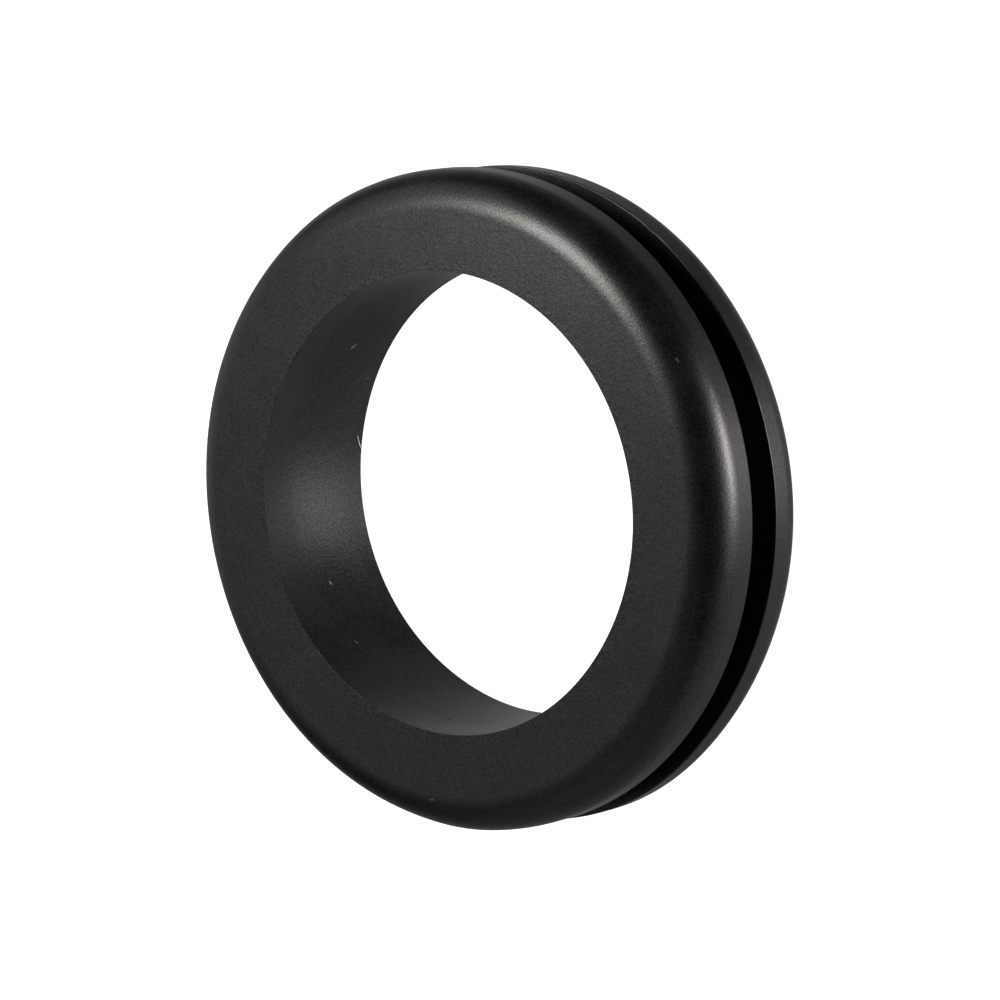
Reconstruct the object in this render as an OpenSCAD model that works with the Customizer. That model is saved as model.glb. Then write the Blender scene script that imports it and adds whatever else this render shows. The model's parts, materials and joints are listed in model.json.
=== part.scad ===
// Panel grommet: one soft rubber ring that lines a hole in a sheet panel.
// A flange stands on each side of a square groove. The groove grips the panel's edge,
// and cables or hoses pass through the smooth bore.
// The ring lies flat on its back flange. Z is its axis, and the origin is the centre
// of the face that it lies on.

/* [Ring] */
// Diameter over the flanges
outer_d = 60; // [55:0.5:90]
// Diameter of the bore that cables pass through
bore_d = 42; // [20:0.5:46]
// Radius on the edge at each mouth of the bore
mouth_r = 0.15; // [0.1:0.05:1]

/* [Flanges] */
// Thickness of each flange, from its flat face to the groove
flange_t = 5.4; // [2:0.1:10]
// Radius of the full shoulder between a flange's flat face and its rim
shoulder_r = 3.5; // [0.5:0.1:5]
// Radius on the corner between a flange's rim and the groove
lip_r = 0.2; // [0.1:0.05:1]

/* [Panel groove] */
// Width of the groove, which grips the panel's edge
groove_w = 3.2; // [1:0.1:8]
// Diameter of the groove's floor, which seats in the panel hole
groove_d = 50; // [46:0.5:56]
// Radius in the two corners of the groove's floor
root_r = 0.4; // [0.1:0.05:0.8]

/* [Hidden] */
$fn = 180;
outer_r = outer_d / 2;
bore_r = bore_d / 2;
groove_r = groove_d / 2;
overall_t = 2 * flange_t + groove_w;
ring_wall = outer_r - bore_r;
groove_depth = outer_r - groove_r;
// Each round is held to the wall that it lies on
mouth_round = min(mouth_r, flange_t / 4, ring_wall / 4);
lip_round = min(lip_r, flange_t / 4, groove_depth / 4);
root_round = min(root_r, groove_w / 4, groove_depth / 4);
shoulder_round = min(shoulder_r, flange_t - lip_round, ring_wall - mouth_round);
// How far a cutting shape reaches past the surface that it trims
overrun = 1;

// What a round of radius r takes off a square outer corner at the origin.
// The corner's material lies below it and to its left.
module corner_waste(r) {
    translate([-r, -r]) difference() {
        square(r + overrun);
        circle(r);
    }
}

// What a fillet of radius r leaves in a square inner corner at the origin.
// The corner's open space lies above it and to its right.
module corner_web(r) {
    difference() {
        translate([-overrun, -overrun]) square(r + overrun);
        translate([r, r]) circle(r);
    }
}

// The groove in section, with fillets in the two corners of its floor
module groove_section() {
    translate([groove_r, flange_t]) difference() {
        square([groove_depth + overrun, groove_w]);
        corner_web(root_round);
        translate([0, groove_w]) mirror([0, 1]) corner_web(root_round);
    }
}

// What the rounds take off the back flange in section
module flange_waste() {
    translate([outer_r, 0]) mirror([0, 1]) corner_waste(shoulder_round);
    translate([bore_r, 0]) rotate(180) corner_waste(mouth_round);
    translate([outer_r, flange_t]) corner_waste(lip_round);
}

// Half section through the ring, with the radius along X and the axis along Y.
// The front flange mirrors the back one.
module ring_section() {
    difference() {
        translate([bore_r, 0]) square([ring_wall, overall_t]);
        groove_section();
        flange_waste();
        translate([0, overall_t]) mirror([0, 1]) flange_waste();
    }
}

module grommet() {
    color("#1b1b1c") rotate_extrude() ring_section();
}

grommet();
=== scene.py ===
"""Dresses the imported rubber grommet: its body, a fibre of lint, the floor, the light and the camera."""

import json
import math

import bpy
from mathutils import Matrix, Vector


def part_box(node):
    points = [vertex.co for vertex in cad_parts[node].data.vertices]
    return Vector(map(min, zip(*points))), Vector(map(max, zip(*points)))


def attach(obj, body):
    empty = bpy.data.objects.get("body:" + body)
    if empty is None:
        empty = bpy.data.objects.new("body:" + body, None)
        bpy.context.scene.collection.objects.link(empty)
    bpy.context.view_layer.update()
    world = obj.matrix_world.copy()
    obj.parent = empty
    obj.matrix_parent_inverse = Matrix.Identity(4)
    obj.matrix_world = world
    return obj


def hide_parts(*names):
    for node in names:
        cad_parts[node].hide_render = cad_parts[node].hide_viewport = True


MM = 0.001

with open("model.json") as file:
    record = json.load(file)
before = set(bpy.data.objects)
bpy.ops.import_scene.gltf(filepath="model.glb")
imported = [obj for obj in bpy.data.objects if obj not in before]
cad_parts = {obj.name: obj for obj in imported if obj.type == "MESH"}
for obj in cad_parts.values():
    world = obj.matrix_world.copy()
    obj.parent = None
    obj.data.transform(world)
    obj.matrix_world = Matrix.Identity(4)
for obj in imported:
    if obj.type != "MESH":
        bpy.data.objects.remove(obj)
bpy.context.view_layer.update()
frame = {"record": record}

# The ring's own sizes, in metres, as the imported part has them
MOUNTS = {mount["name"]: mount for mount in frame["record"]["mounts"]}
OUTER_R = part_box("grommet")[1].x
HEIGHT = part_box("grommet")[1].z
BORE_R = MOUNTS["bore"]["dims"]["r_mm"] * MM
GROOVE_R = MOUNTS["panel_groove"]["dims"]["r_mm"] * MM
GROOVE_W = MOUNTS["panel_groove"]["dims"]["length_mm"] * MM
FLANGE_T = (HEIGHT - GROOVE_W) / 2
SHOULDER_R = 3.5 * MM
ROOT_R = 0.4 * MM

# The photographed ring's lips and mouths are sharper than the part's
LIP_R = 0.12 * MM
MOUTH_R = 0.02 * MM

# Mesh: steps round the ring, and how near its ends a straight stretch has a point to hold the rounds
RING_STEPS = 480
HOLD = 0.04 * MM

# The camera stands where the photographer stood, seen from the ring
CAMERA_AZIMUTH = math.radians(8.36)
CAMERA_ELEVATION = math.radians(51.55)
CAMERA_ROLL = math.radians(100.62)
CAMERA_DISTANCE = 421.0 * MM
CAMERA_AIM = Vector((6.52, 0.46, 14.0)) * MM
LENS_MM = 171.3
SENSOR_MM = 36.0
NEAREST_SEEN = 0.01
FARTHEST_SEEN = 10

# Small dents and swellings of the soft flanges: azimuth, width in degrees, and depth in mm,
# inward positive. FLANGE_SAG is how far both rims lie in all round
FLANGE_SAG = 0.10
FRONT_DENTS = ((-94, 6, -0.10), (156, 20, -0.08), (117, 8, -0.07))
BACK_DENTS = (
    (-100, 14, 0.12),
    (-66, 11, -0.22),
    (-32, 14, 0.12),
    (10, 30, 0.05),
    (86, 9, 0.04),
)
BACK_SHIFT = Vector((0.0, -0.15)) * MM

# The groove gapes a little: how far the back flange's inner face has sunk, in mm, and where more.
# The reach is how far out from the groove's floor it takes to sink fully
BACK_DROOP = 0.40
BACK_DROOPS = ((-68, 14, 0.20), (82, 14, 0.35))
DROOP_REACH = 2 * MM

# The bore isn't quite straight: its wall bellies out, from a foot up to its fullest level and back
# to nothing at the front mouth. Levels and depth in mm, and the power of the curve it falls by.
# The reach is how far out from the bore the rubber still follows its wall
BELLY_DEPTH = 0.48
BELLY_FOOT = 1.5
BELLY_LEVEL = 9.5
BELLY_FALL = 1.4
BORE_REACH = 3 * MM

# Where the belly fades: azimuth, width in degrees, and the share that is gone
BELLY_FADES = ((-140, 18, 0.6), (-110, 20, 0.7))

# Where the mouths are nipped in: azimuth, width in degrees, and depth in mm
FRONT_NIPS = ((-148, 12, 0.15), (-120, 16, 0.17), (-88, 18, 0.17), (-44, 20, 0.22))
BACK_NIPS = ((-120, 20, 0.17), (160, 16, 0.10))

# Specks of dust on the bore wall: azimuth in degrees, level, run round the ring, climb and half
# width in mm, and paleness
BORE_SPECKS = (
    (139.5, 5.4, 0.7, 0.5, 0.13, 0.30),
    (202.5, 7.2, 0.3, -0.1, 0.15, 0.35),
    (220, 8.3, 0.3, -0.1, 0.15, 0.14),
    (150, 1.3, 0.2, 0.3, 0.13, 0.12),
)
# Specks on the front shoulder: azimuth in degrees, radius, run and half width in mm, and paleness
FACE_SPECKS = (
    (262, 27.1, 0.5, 0.13, 0.16),
    (25.5, 29, 0.4, 0.15, 0.10),
)
# Pale colour of the dust specks, also used for the rubs' partly painted highlight along the lips
SPECK_AND_HIGHLIGHT_COLOUR = (0.50, 0.49, 0.46, 1)

# Pale dashes along the rims' lips: partly rubbed wear and partly painted highlight, laid where the
# lips catch the lamps. First and last azimuth in degrees, level and half width in mm, and paleness
RUBS_AND_PAINTED_HIGHLIGHTS = (
    (46, 52, 5.4, 0.10, 0.28),
    (52.5, 58, 5.4, 0.10, 0.20),
    (4, 12, 5.3, 0.09, 0.22),
    (13, 17, 5.3, 0.09, 0.16),
    (17.5, 20, 11.2, 0.11, 0.13),
    (7, 8, 11.1, 0.12, 0.24),
    (2.5, 4, 11.1, 0.10, 0.20),
)

# Fine scores in the bore wall, each a route of azimuths in degrees and levels in mm
SCORES = (
    ((136.5, 14), (140.5, 13.95), (144.5, 13.85)),
    ((243, 9.2), (246, 8.8), (249, 9.1), (253, 8.7), (257.5, 9)),
)
SCORE_HALF_WIDTH = 0.08
SCORE_DEPTH = 0.05

# The share of a streak's half width that is as strong as its middle
STREAK_CORE = 0.3

# A fibre of lint on the bore wall: azimuth in degrees and level in mm of its points
FIBRE_PATH = ((166.0, 0.85), (167.0, 0.72), (168.2, 0.52), (169.1, 0.30), (169.8, 0.12))
FIBRE_R = 0.045
LINT_TONE_SIZE = 0.3
DARK_LINT = (0.62, 0.60, 0.52, 1)
PALE_LINT = (0.85, 0.84, 0.78, 1)
LINT_ROUGHNESS = 0.7

# The floor, in metres and linear colour
FLOOR_HALF = 3.0
FLOOR_COLOUR = (0.8, 0.8, 0.8, 1)
FLOOR_ROUGHNESS = 0.9

# Tints of the light, each channel against green
WHITE = (1.0, 1.0, 1.0)
WARM = (1.03, 1.0, 0.97)
KEY_TINT = (1.02, 1.0, 0.98)
ROSE = (1.04, 1.0, 1.02)
VIOLET = (1.04, 1.0, 1.12)

# Lamps near the ring, which light only the ring and the fibre: name, azimuth and elevation, distance
# in metres, half angles across and upward, radiance, roll and tint. All angles in degrees
NEAR_LAMPS = (
    ("key", 110, 60, 0.12, 14, 8, 12, 16, KEY_TINT),
    ("key_core", 112, 56, 0.12, 16, 8, 8.5, 20, KEY_TINT),
    ("key_shoulder", 122, 61, 0.12, 20, 5, 2.5, 16, KEY_TINT),
    ("key_side", 100, 52, 0.16, 10, 8, 1.5, 20, KEY_TINT),
    ("low", 8, -18.5, 0.107, 11, 5.5, 24, 0, ROSE),
)
# The lamp over the floor, which lights the floor alone
FLOOR_LAMP = ("top", 0, 90, 0.9, 40, 40, 4, 0, WHITE)

# The studio round the ring, as broad glows: azimuth, elevation and half width in degrees, radiance
# and tint
GLOWS = (
    (0, -75, 45, 0.25, WARM),
    (0, -18, 25, 2.5, WARM),
    (0, -45, 20, 1.25, WARM),
    (130, 30, 30, 0.8, WHITE),
    (135, -45, 45, 0.2, VIOLET),
    (175, 10, 30, 0.5, WHITE),
    (180, -45, 45, 0.35, ROSE),
    (180, 50, 30, 0.55, WHITE),
    (260, 45, 45, 0.25, ROSE),
    (270, -20, 70, 0.2, ROSE),
    (320, -15, 45, 0.25, ROSE),
)

# Rubber: a fine matt grain over slow patches. Sizes of the features and depths in mm. The grain is
# coarse up to one distance off the bore wall, and fine from the next, also in mm
RUBBER_IOR = 1.5
GRAIN_SIZE = 0.21
GRAIN_DEPTH = 0.015
GRAIN_CAVITY = 0.22
GRAIN_LIMIT = 0.3
BORE_COARSENESS = 1.9
COARSE_UNTIL = 0.5
FINE_FROM = 0.9
PATCH_SIZE = 4.5
WAVE_SIZE = 7.0
WAVE_DEPTH = 0.02
DARK_RUBBER = (0.0013, 0.0012, 0.0014, 1)
PALE_RUBBER = (0.0074, 0.0070, 0.0077, 1)
TINT_SIZE = 2.0
OLIVE_TINT = (1.0, 1.01, 0.95, 1)
VIOLET_TINT = (1.01, 0.985, 1.06, 1)
SMOOTH_ROUGHNESS = 0.35
MATT_ROUGHNESS = 0.365


def polar(azimuth, elevation):
    """Unit vector at an azimuth round Z and an elevation above the floor."""
    flat = math.cos(elevation)
    return Vector((flat * math.cos(azimuth), flat * math.sin(azimuth), math.sin(elevation)))


def add_camera():
    """Camera at the photograph's viewing angle, rolled as the photograph is."""
    back = polar(CAMERA_AZIMUTH, CAMERA_ELEVATION)
    level_right = Vector((0, 0, 1)).cross(back).normalized()
    level_up = back.cross(level_right)
    up = level_up * math.cos(CAMERA_ROLL) + level_right * math.sin(CAMERA_ROLL)
    turn = Matrix((up.cross(back), up, back)).transposed().to_4x4()
    data = bpy.data.cameras.new("camera")
    data.lens = LENS_MM
    data.sensor_width = SENSOR_MM
    data.clip_start = NEAREST_SEEN
    data.clip_end = FARTHEST_SEEN
    camera = bpy.data.objects.new("camera", data)
    camera.matrix_world = Matrix.Translation(CAMERA_AIM + back * CAMERA_DISTANCE) @ turn
    bpy.context.scene.collection.objects.link(camera)
    bpy.context.scene.camera = camera


def arc(centre, radius, start, stop, steps):
    """Points (r, z) along an arc in the section plane, both ends included. Angles in degrees."""
    points = []
    for i in range(steps + 1):
        angle = math.radians(start + (stop - start) * i / steps)
        points.append((centre[0] + radius * math.cos(angle), centre[1] + radius * math.sin(angle)))
    return points


def spread(start, stop, steps):
    """Points between the ends of a straight stretch: one close to each end, and evenly between."""
    near = HOLD / math.dist(start, stop)
    parts = [near] + [i / steps for i in range(1, steps)] + [1 - near]
    return [(start[0] + (stop[0] - start[0]) * t, start[1] + (stop[1] - start[1]) * t) for t in parts]


def ring_outline():
    """Closed section of the ring, from the bore round the back flange, the groove and the front flange."""
    rounds = []
    rounds.append(arc((BORE_R + MOUTH_R, MOUTH_R), MOUTH_R, 180, 270, 4))
    rounds.append(arc((OUTER_R - SHOULDER_R, SHOULDER_R), SHOULDER_R, 270, 360, 24))
    rounds.append(arc((OUTER_R - LIP_R, FLANGE_T - LIP_R), LIP_R, 0, 90, 5))
    rounds.append(arc((GROOVE_R + ROOT_R, FLANGE_T + ROOT_R), ROOT_R, 270, 180, 4))
    rounds.append(arc((GROOVE_R + ROOT_R, HEIGHT - FLANGE_T - ROOT_R), ROOT_R, 180, 90, 4))
    rounds.append(arc((OUTER_R - LIP_R, HEIGHT - FLANGE_T + LIP_R), LIP_R, 270, 360, 5))
    rounds.append(arc((OUTER_R - SHOULDER_R, HEIGHT - SHOULDER_R), SHOULDER_R, 0, 90, 24))
    rounds.append(arc((BORE_R + MOUTH_R, HEIGHT - MOUTH_R), MOUTH_R, 90, 180, 4))
    straight_steps = (10, 4, 4, 3, 4, 4, 10, 42)
    outline = []
    for i, points in enumerate(rounds):
        following = rounds[(i + 1) % len(rounds)]
        outline += points + spread(points[-1], following[0], straight_steps[i])
    return outline


def swell(angle, bells):
    """Sum of the bell-shaped swellings at an azimuth, in their own unit."""
    total = 0.0
    for centre, width, height in bells:
        away = (math.degrees(angle) - centre + 180) % 360 - 180
        total += height * math.exp(-0.5 * (away / width) ** 2)
    return total


def smooth(value, low, high):
    """Smooth step from 0 at low to 1 at high."""
    t = min(max((value - low) / (high - low), 0.0), 1.0)
    return t * t * (3 - 2 * t)


def belly_depth(z):
    """How far the bore's wall bellies out at a level, in metres."""
    rise = smooth(z, BELLY_FOOT * MM, BELLY_LEVEL * MM)
    past = max(z - BELLY_LEVEL * MM, 0.0) / (HEIGHT - BELLY_LEVEL * MM)
    return BELLY_DEPTH * MM * rise * (1 - min(past, 1.0) ** BELLY_FALL)


def settle(angle, r, z):
    """Where the soft rubber lies for a nominal point of the section, all in metres."""
    front = smooth(z, FLANGE_T, HEIGHT - FLANGE_T)
    back = 1 - front
    sag = FLANGE_SAG + front * swell(angle, FRONT_DENTS) + back * swell(angle, BACK_DENTS)
    flange_reach = smooth(r, BORE_R, OUTER_R - SHOULDER_R)

    upper = smooth(z, 0, HEIGHT)
    nip = upper * swell(angle, FRONT_NIPS) + (1 - upper) * swell(angle, BACK_NIPS)
    belly = belly_depth(z) * (1 - swell(angle, BELLY_FADES))
    near_bore = 1 - smooth(r, BORE_R, BORE_R + BORE_REACH)

    # The droop is measured from where the point has moved to
    r += (belly - nip * MM) * near_bore - sag * MM * flange_reach
    lip_reach = smooth(r, GROOVE_R, GROOVE_R + DROOP_REACH)
    droop = (BACK_DROOP + swell(angle, BACK_DROOPS)) * MM * back * lip_reach
    x = r * math.cos(angle) + BACK_SHIFT.x * back * flange_reach
    y = r * math.sin(angle) + BACK_SHIFT.y * back * flange_reach
    return Vector((x, y, z - droop * min(z / FLANGE_T, 1)))


def on_bore(azimuth, level):
    """Place on the settled bore wall at an azimuth in degrees and a level in mm."""
    return settle(math.radians(azimuth), BORE_R, level * MM)


def shoulder_drop(beyond):
    """How far the shoulder's round has fallen away, this far past its start, in metres."""
    return SHOULDER_R - math.sqrt(SHOULDER_R ** 2 - max(beyond, 0.0) ** 2)


def on_face(azimuth, radius):
    """Place on the settled front face or its shoulder at an azimuth in degrees and a radius in mm."""
    fallen = shoulder_drop(radius * MM - (OUTER_R - SHOULDER_R))
    return settle(math.radians(azimuth), radius * MM, HEIGHT - fallen)


def on_rim(azimuth, level):
    """Place on a settled rim or the front shoulder at an azimuth in degrees and a level in mm."""
    fallen = shoulder_drop(level * MM - (HEIGHT - SHOULDER_R))
    return settle(math.radians(azimuth), OUTER_R - fallen, level * MM)


def bore_streak(azimuth, level, run, climb):
    """Both ends of a streak on the bore wall, from its middle, run and climb in mm."""
    turn = math.degrees(run * MM / BORE_R) / 2
    return on_bore(azimuth + turn, level + climb / 2), on_bore(azimuth - turn, level - climb / 2)


def face_streak(azimuth, radius, run):
    """Both ends of a streak that runs round the front face, from its middle and run in mm."""
    turn = math.degrees(run / radius) / 2
    return on_face(azimuth - turn, radius), on_face(azimuth + turn, radius)


def revolve(name, outline, steps):
    """Closed mesh of the outline turned round Z, each point settled."""
    vertices = []
    for i in range(steps):
        angle = 2 * math.pi * i / steps
        for r, z in outline:
            vertices.append(settle(angle, r, z))
    count = len(outline)
    faces = []
    for i in range(steps):
        here, there = i * count, (i + 1) % steps * count
        for j in range(count):
            k = (j + 1) % count
            faces.append((here + j, there + j, there + k, here + k))
    mesh = bpy.data.meshes.new(name)
    mesh.from_pydata(vertices, [], faces)
    mesh.shade_smooth()
    piece = bpy.data.objects.new(name, mesh)
    bpy.context.scene.collection.objects.link(piece)
    return piece


def add_node(tree, kind, settings=None, values=None):
    """New node with some settings and some input values, both given by name."""
    node = tree.nodes.new(kind)
    for key, value in (settings or {}).items():
        setattr(node, key, value)
    for key, value in (values or {}).items():
        node.inputs[key].default_value = value
    return node


def add_noise(tree, place, size, detail, roughness):
    """Noise with features of a size in mm."""
    values = {"Scale": 1 / (size * MM), "Detail": detail, "Roughness": roughness}
    noise = add_node(tree, "ShaderNodeTexNoise", values=values)
    tree.links.new(place, noise.inputs["Vector"])
    return noise.outputs["Fac"]


def add_range(tree, value, start, end, low, high):
    """Value carried from one range to another, held at the ends."""
    values = {"From Min": start, "From Max": end, "To Min": low, "To Max": high}
    ramp = add_node(tree, "ShaderNodeMapRange", {"interpolation_type": "SMOOTHSTEP"}, values)
    tree.links.new(value, ramp.inputs["Value"])
    return ramp.outputs["Result"]


def add_math(tree, operation, first, second):
    """Math node of two values, each a socket or a number."""
    node = add_node(tree, "ShaderNodeMath", {"operation": operation})
    for socket, value in zip(node.inputs, (first, second)):
        if isinstance(value, (int, float)):
            socket.default_value = value
        else:
            tree.links.new(value, socket)
    return node.outputs["Value"]


def add_mix(tree, amount, low, high):
    """Colour between two, each a socket or a colour."""
    node = add_node(tree, "ShaderNodeMix", {"data_type": "RGBA"})
    tree.links.new(amount, node.inputs["Factor"])
    for socket, colour in ((node.inputs[6], low), (node.inputs[7], high)):
        if isinstance(colour, tuple):
            socket.default_value = colour
        else:
            tree.links.new(colour, socket)
    return node.outputs[2]


def add_bump(tree, height, depth, normal=None):
    """Normal of a surface raised by a height of 1 over a depth in mm."""
    bump = add_node(tree, "ShaderNodeBump", values={"Strength": 1.0, "Distance": depth * MM})
    tree.links.new(height, bump.inputs["Height"])
    if normal:
        tree.links.new(normal, bump.inputs["Normal"])
    return bump.outputs["Normal"]


def streak_mask(tree, place, start, end, half, strength):
    """Mask of a long thin oval between two spots, fading to nothing at its half width."""
    along = end - start
    values = {
        "Location": (start + end) / 2,
        "Rotation": along.to_track_quat("X", "Z").to_euler(),
        "Scale": (along.length / 2 + half * MM, half * MM, half * MM),
    }
    local = add_node(tree, "ShaderNodeMapping", {"vector_type": "TEXTURE"}, values)
    tree.links.new(place, local.inputs["Vector"])
    away = add_node(tree, "ShaderNodeVectorMath", {"operation": "LENGTH"})
    tree.links.new(local.outputs["Vector"], away.inputs[0])
    return add_range(tree, away.outputs["Value"], STREAK_CORE, 1, strength, 0)


def strongest(tree, masks):
    """The strongest of several masks at each place."""
    result = masks[0]
    for mask in masks[1:]:
        result = add_math(tree, "MAXIMUM", result, mask)
    return result


def bore_coarseness(tree, place):
    """How much stronger the grain is: more on the bore wall, the same elsewhere."""
    flat = add_node(tree, "ShaderNodeVectorMath", {"operation": "MULTIPLY"})
    tree.links.new(place, flat.inputs[0])
    flat.inputs[1].default_value = (1, 1, 0)
    away = add_node(tree, "ShaderNodeVectorMath", {"operation": "LENGTH"})
    tree.links.new(flat.outputs["Vector"], away.inputs[0])
    coarse_r = BORE_R + COARSE_UNTIL * MM
    fine_r = BORE_R + FINE_FROM * MM
    return add_range(tree, away.outputs["Value"], coarse_r, fine_r, BORE_COARSENESS, 1)


def dust_and_highlight_streaks():
    """Every speck and rub, the rubs partly painted highlight: its two ends, half width and paleness."""
    streaks = []
    for azimuth, level, run, climb, half, paleness in BORE_SPECKS:
        streaks.append((*bore_streak(azimuth, level, run, climb), half, paleness))
    for azimuth, radius, run, half, paleness in FACE_SPECKS:
        streaks.append((*face_streak(azimuth, radius, run), half, paleness))
    for first, last, level, half, paleness in RUBS_AND_PAINTED_HIGHLIGHTS:
        streaks.append((on_rim(first, level), on_rim(last, level), half, paleness))
    return streaks


def score_stretches():
    """Each straight stretch of the scores: its two ends, half width and full strength."""
    stretches = []
    for route in SCORES:
        places = [on_bore(azimuth, level) for azimuth, level in route]
        for start, end in zip(places, places[1:]):
            stretches.append((start, end, SCORE_HALF_WIDTH, 1))
    return stretches


def rubber_material():
    """Black moulded rubber with a matt grain, slow patches, dust specks, rubs that are partly painted
    highlight, and fine scores.
    """
    material = bpy.data.materials.new("moulded_rubber")
    material.use_nodes = True
    tree = material.node_tree
    shader = tree.nodes["Principled BSDF"]
    shader.inputs["IOR"].default_value = RUBBER_IOR
    place = add_node(tree, "ShaderNodeTexCoord").outputs["Object"]
    grain = add_noise(tree, place, GRAIN_SIZE, 1.5, 0.6)
    relief = add_math(tree, "SUBTRACT", grain, 0.5)
    relief = add_math(tree, "MULTIPLY", relief, bore_coarseness(tree, place))
    patches = add_noise(tree, place, PATCH_SIZE, 4, 0.6)
    waves = add_noise(tree, place, WAVE_SIZE, 1, 0.5)

    dust_and_highlight = strongest(tree, [streak_mask(tree, place, *streak) for streak in dust_and_highlight_streaks()])
    scores = strongest(tree, [streak_mask(tree, place, *stretch) for stretch in score_stretches()])

    fine_part = add_math(tree, "MULTIPLY", grain, 0.65)
    slow_part = add_math(tree, "MULTIPLY", patches, 0.35)
    bloom = add_math(tree, "ADD", fine_part, slow_part)
    rubber = add_mix(tree, add_range(tree, bloom, 0.38, 0.62, 0, 1), DARK_RUBBER, PALE_RUBBER)
    # Specks and rubs paled into the base colour: dust, and along the lips partly a painted highlight
    tree.links.new(add_mix(tree, dust_and_highlight, rubber, SPECK_AND_HIGHLIGHT_COLOUR), shader.inputs["Base Color"])

    cavity = add_range(tree, relief, -GRAIN_LIMIT, GRAIN_LIMIT, 1 - GRAIN_CAVITY, 1 + GRAIN_CAVITY)
    hue = add_range(tree, add_noise(tree, place, TINT_SIZE, 2, 0.6), 0.4, 0.6, 0, 1)
    tint = add_node(tree, "ShaderNodeVectorMath", {"operation": "SCALE"})
    tree.links.new(add_mix(tree, hue, OLIVE_TINT, VIOLET_TINT), tint.inputs[0])
    tree.links.new(cavity, tint.inputs["Scale"])
    tree.links.new(tint.outputs["Vector"], shader.inputs["Specular Tint"])

    gloss = add_range(tree, patches, 0.35, 0.65, SMOOTH_ROUGHNESS, MATT_ROUGHNESS)
    worn = add_math(tree, "MAXIMUM", dust_and_highlight, scores)
    tree.links.new(add_math(tree, "MAXIMUM", gloss, worn), shader.inputs["Roughness"])

    normal = add_bump(tree, waves, WAVE_DEPTH)
    normal = add_bump(tree, relief, GRAIN_DEPTH, normal)
    normal = add_bump(tree, add_math(tree, "SUBTRACT", dust_and_highlight, scores), SCORE_DEPTH, normal)
    tree.links.new(normal, shader.inputs["Normal"])
    return material


def fibre_material():
    """Pale lint, a little uneven along its length."""
    material = bpy.data.materials.new("pale_lint")
    material.use_nodes = True
    tree = material.node_tree
    shader = tree.nodes["Principled BSDF"]
    shader.inputs["Roughness"].default_value = LINT_ROUGHNESS
    place = add_node(tree, "ShaderNodeTexCoord").outputs["Object"]
    tone = add_range(tree, add_noise(tree, place, LINT_TONE_SIZE, 2, 0.5), 0.3, 0.7, 0, 1)
    tree.links.new(add_mix(tree, tone, DARK_LINT, PALE_LINT), shader.inputs["Base Color"])
    return material


def add_fibre():
    """Thin bent tube lying on the bore wall by the back mouth, thinner at both ends."""
    spine = bpy.data.curves.new("lint_path", "CURVE")
    spine.dimensions = "3D"
    spine.bevel_depth = FIBRE_R * MM
    spine.bevel_resolution = 2
    spine.use_fill_caps = True
    line = spine.splines.new("NURBS")
    line.points.add(len(FIBRE_PATH) - 1)
    line.use_endpoint_u = True
    line.order_u = 3
    for point, (azimuth, level) in zip(line.points, FIBRE_PATH):
        spot = on_bore(azimuth, level)
        spot -= Vector((spot.x, spot.y, 0)).normalized() * FIBRE_R * MM
        point.co = (spot.x, spot.y, spot.z, 1)
    line.points[0].radius = 0.5
    line.points[-1].radius = 0.5
    drawn = bpy.data.objects.new("lint_path", spine)
    bpy.context.scene.collection.objects.link(drawn)
    bpy.context.view_layer.update()
    depsgraph = bpy.context.evaluated_depsgraph_get()
    mesh = bpy.data.meshes.new_from_object(drawn.evaluated_get(depsgraph))
    bpy.data.objects.remove(drawn)
    mesh.name = "lint_fibre"
    mesh.materials.clear()
    mesh.materials.append(fibre_material())
    mesh.shade_smooth()
    fibre = bpy.data.objects.new("lint_fibre", mesh)
    bpy.context.scene.collection.objects.link(fibre)
    return fibre


def add_floor():
    """Plain pale floor, which shows in no gloss and blocks no light."""
    mesh = bpy.data.meshes.new("floor")
    half = FLOOR_HALF
    corners = [(-half, -half, 0), (half, -half, 0), (half, half, 0), (-half, half, 0)]
    mesh.from_pydata(corners, [], [(0, 1, 2, 3)])
    floor = bpy.data.objects.new("floor", mesh)
    bpy.context.scene.collection.objects.link(floor)
    material = bpy.data.materials.new("pale_floor")
    material.use_nodes = True
    shader = material.node_tree.nodes["Principled BSDF"]
    shader.inputs["Base Color"].default_value = FLOOR_COLOUR
    shader.inputs["Roughness"].default_value = FLOOR_ROUGHNESS
    shader.inputs["Specular IOR Level"].default_value = 0
    mesh.materials.append(material)
    floor.visible_glossy = False
    floor.visible_shadow = False
    return floor


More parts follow.
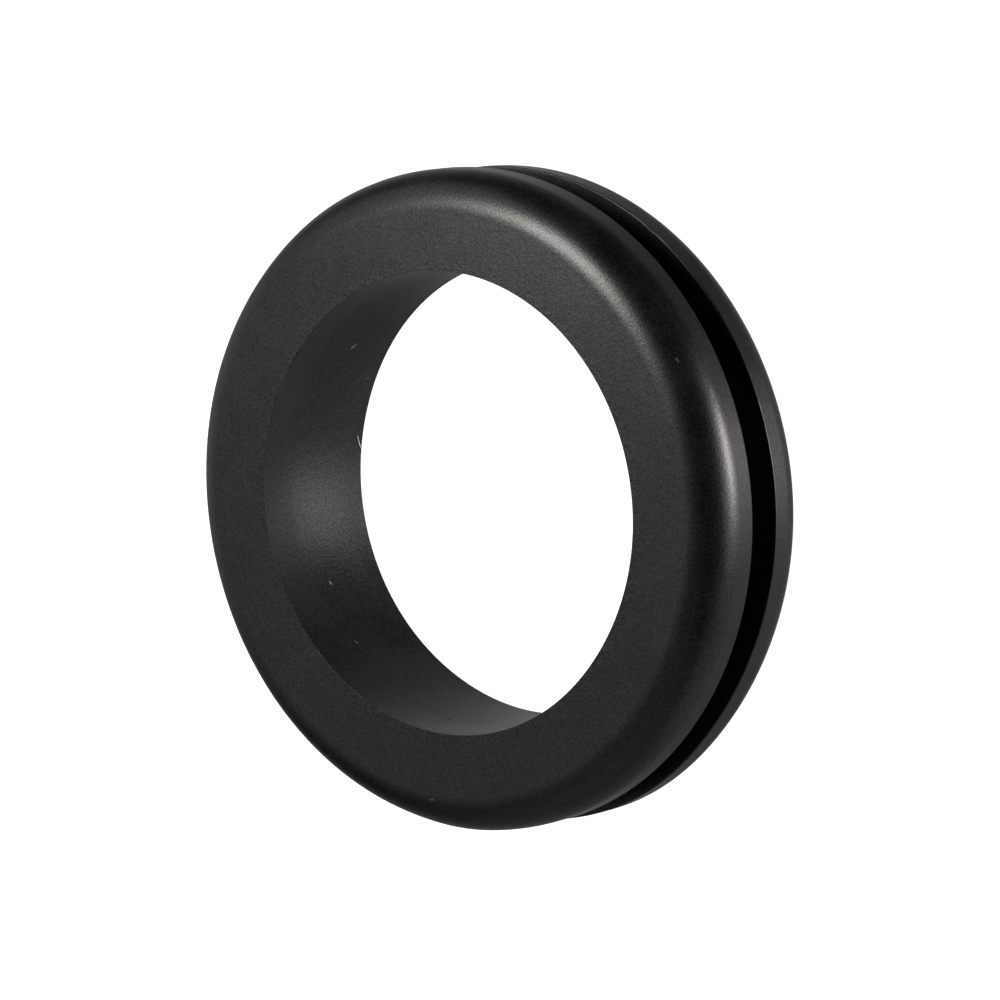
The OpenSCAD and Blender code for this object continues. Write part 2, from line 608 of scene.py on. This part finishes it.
def add_softbox(lit, name, azimuth, elevation, distance, across, upward, radiance, roll, tint):
    """Oval lamp facing the ring that lights only these pieces: angles in degrees, W per sr and m2."""
    half_across = distance * math.tan(math.radians(across))
    half_upward = distance * math.tan(math.radians(upward))
    data = bpy.data.lights.new(name, "AREA")
    data.shape = "ELLIPSE"
    data.size = 2 * half_across
    data.size_y = 2 * half_upward
    data.energy = radiance * math.pi * math.pi * half_across * half_upward
    data.color = tint
    lamp = bpy.data.objects.new(name, data)
    back = polar(math.radians(azimuth), math.radians(elevation))
    right = Vector((1, 0, 0)) if elevation == 90 else Vector((0, 0, 1)).cross(back).normalized()
    turn = Matrix((right, back.cross(right), back)).transposed().to_4x4()
    turn = turn @ Matrix.Rotation(math.radians(roll), 4, "Z")
    lamp.matrix_world = Matrix.Translation(back * distance + Vector((0, 0, HEIGHT / 2))) @ turn
    lamp.visible_camera = False
    bpy.context.scene.collection.objects.link(lamp)
    group = bpy.data.collections.new(name + "_lit")
    for target in lit:
        group.objects.link(target)
    lamp.light_linking.receiver_collection = group
    return lamp


def shade_only(lamp, blockers):
    """Lets only these pieces throw a shadow in a lamp's light."""
    group = bpy.data.collections.new(lamp.name + "_shade")
    for blocker in blockers:
        group.objects.link(blocker)
    lamp.light_linking.blocker_collection = group


def add_surround(glows):
    """Dark studio with broad soft glows, listed as GLOWS is."""
    world = bpy.data.worlds.new("studio")
    world.use_nodes = True
    tree = world.node_tree
    place = add_node(tree, "ShaderNodeTexCoord").outputs["Generated"]
    background = tree.nodes["Background"]
    background.inputs["Strength"].default_value = 1.0
    total = add_node(tree, "ShaderNodeVectorMath", {"operation": "ADD"}).outputs["Vector"]
    for azimuth, elevation, half_width, radiance, tint in glows:
        towards = add_node(tree, "ShaderNodeVectorMath", {"operation": "DOT_PRODUCT"})
        tree.links.new(place, towards.inputs[0])
        towards.inputs[1].default_value = polar(math.radians(azimuth), math.radians(elevation))
        edge = math.cos(math.radians(half_width))
        glow = add_node(tree, "ShaderNodeVectorMath", {"operation": "SCALE"})
        glow.inputs[0].default_value = tint
        tree.links.new(add_range(tree, towards.outputs["Value"], edge, 1, 0, radiance), glow.inputs["Scale"])
        both = add_node(tree, "ShaderNodeVectorMath", {"operation": "ADD"})
        tree.links.new(total, both.inputs[0])
        tree.links.new(glow.outputs["Vector"], both.inputs[1])
        total = both.outputs["Vector"]
    tree.links.new(total, background.inputs["Color"])
    bpy.context.scene.world = world


ring = revolve("grommet_body", ring_outline(), RING_STEPS)
ring.data.materials.append(rubber_material())
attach(ring, "root")
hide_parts("grommet")
fibre = add_fibre()
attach(fibre, "root")
floor = add_floor()
for near_lamp in NEAR_LAMPS:
    add_softbox((ring, fibre), *near_lamp)
shade_only(add_softbox((floor,), *FLOOR_LAMP), (floor,))
add_surround(GLOWS)
add_camera()
bpy.context.scene.view_settings.view_transform = "Standard"
